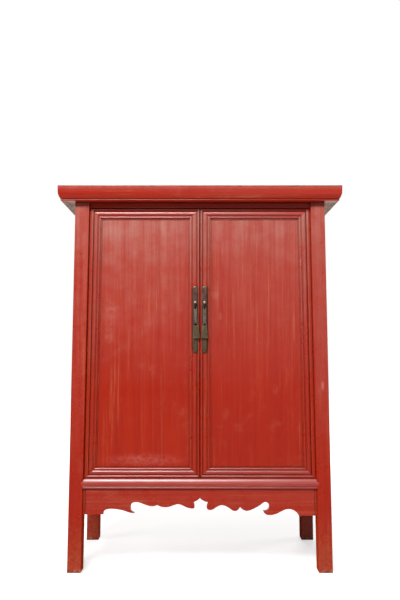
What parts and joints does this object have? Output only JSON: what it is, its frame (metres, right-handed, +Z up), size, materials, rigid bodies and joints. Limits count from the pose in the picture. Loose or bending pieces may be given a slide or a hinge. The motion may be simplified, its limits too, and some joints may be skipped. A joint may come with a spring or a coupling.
{
  "type": "tapered two-door cabinet",
  "caption": "Tall tapered wooden cabinet with two panelled doors on wooden pivots, a moulded overhanging top, a carved front apron and hanging metal pulls.",
  "frame": {"origin": "on the floor, in the middle of the cabinet's width and depth", "axes": "+Z up, -Y towards the front with the doors, +X to the right seen from the front"},
  "size_m": [1.112, 0.493, 1.52],
  "materials": {
    "red_lacquer": "worn glossy red lacquer over wood",
    "panel_lacquer": "worn glossy red lacquer over a wide board",
    "top_lacquer": "worn red lacquer, rubbed through at the edges, bare wood underneath",
    "inner_wood": "aged bare wood",
    "back_wood": "thin dark stain over aged wood",
    "aged_brass": "dull greenish brown patina, rubbed bright on the high spots"
  },
  "bodies": {
    "carcase": {"back_lower_panel": "back_wood", "back_lower_rail": "back_wood", "back_middle_rail": "back_wood", "back_upper_panel": "back_wood", "back_upper_rail": "back_wood", "floor_batten": "inner_wood", "floor_panel": "inner_wood", "front_apron": "red_lacquer", "front_left_leg": "red_lacquer", "front_lower_rail": "red_lacquer", "front_right_leg": "red_lacquer", "front_upper_rail": "red_lacquer", "left_lower_bearer": "inner_wood", "left_side_apron": "red_lacquer", "left_side_lower_rail": "red_lacquer", "left_side_panel": "red_lacquer", "left_side_upper_rail": "red_lacquer", "left_upper_bearer": "inner_wood", "lower_door_stop": "inner_wood", "lower_shelf": "inner_wood", "rear_left_leg": "red_lacquer", "rear_right_leg": "red_lacquer", "right_lower_bearer": "inner_wood", "right_side_apron": "red_lacquer", "right_side_lower_rail": "red_lacquer", "right_side_panel": "red_lacquer", "right_side_upper_rail": "red_lacquer", "right_upper_bearer": "inner_wood", "top_back_rail": "top_lacquer", "top_front_rail": "top_lacquer", "top_left_batten": "inner_wood", "top_left_rail": "top_lacquer", "top_panel": "top_lacquer", "top_right_batten": "inner_wood", "top_right_rail": "top_lacquer", "upper_door_stop": "inner_wood", "upper_shelf": "inner_wood"},
    "left_door": {"left_door_bottom_rail": "red_lacquer", "left_door_hinge_stile": "red_lacquer", "left_door_lower_batten": "inner_wood", "left_door_meeting_stile": "red_lacquer", "left_door_panel": "panel_lacquer", "left_door_top_rail": "red_lacquer", "left_door_upper_batten": "inner_wood", "left_lock_lug": "aged_brass", "left_plate": "aged_brass", "left_pull_staple": "aged_brass"},
    "right_door": {"right_door_bottom_rail": "red_lacquer", "right_door_hinge_stile": "red_lacquer", "right_door_lower_batten": "inner_wood", "right_door_meeting_stile": "red_lacquer", "right_door_panel": "panel_lacquer", "right_door_top_rail": "red_lacquer", "right_door_upper_batten": "inner_wood", "right_lock_lug": "aged_brass", "right_plate": "aged_brass", "right_pull_staple": "aged_brass"},
    "left_pull": {"left_pull": "aged_brass"},
    "right_pull": {"right_pull": "aged_brass"}
  },
  "joints": [
    {"name": "left_door_hinge", "type": "hinge", "parent": "carcase", "child": "left_door", "pos_m": [-0.44661, -0.20556, 0.37], "axis": [-0.0205, -0.012, -0.9997], "range_deg": [0, 90]},
    {"name": "right_door_hinge", "type": "hinge", "parent": "carcase", "child": "right_door", "pos_m": [0.44661, -0.20556, 0.37], "axis": [-0.0205, 0.012, 0.9997], "range_deg": [0, 90]},
    {"name": "left_pull_swing", "type": "hinge", "parent": "left_door", "child": "left_pull", "pos_m": [-0.0185, -0.2207, 1.05012], "axis": [-1, 0, 0], "range_deg": [0, 90]},
    {"name": "right_pull_swing", "type": "hinge", "parent": "right_door", "child": "right_pull", "pos_m": [0.0185, -0.2207, 1.05012], "axis": [-1, 0, 0], "range_deg": [0, 90]}
  ]
}
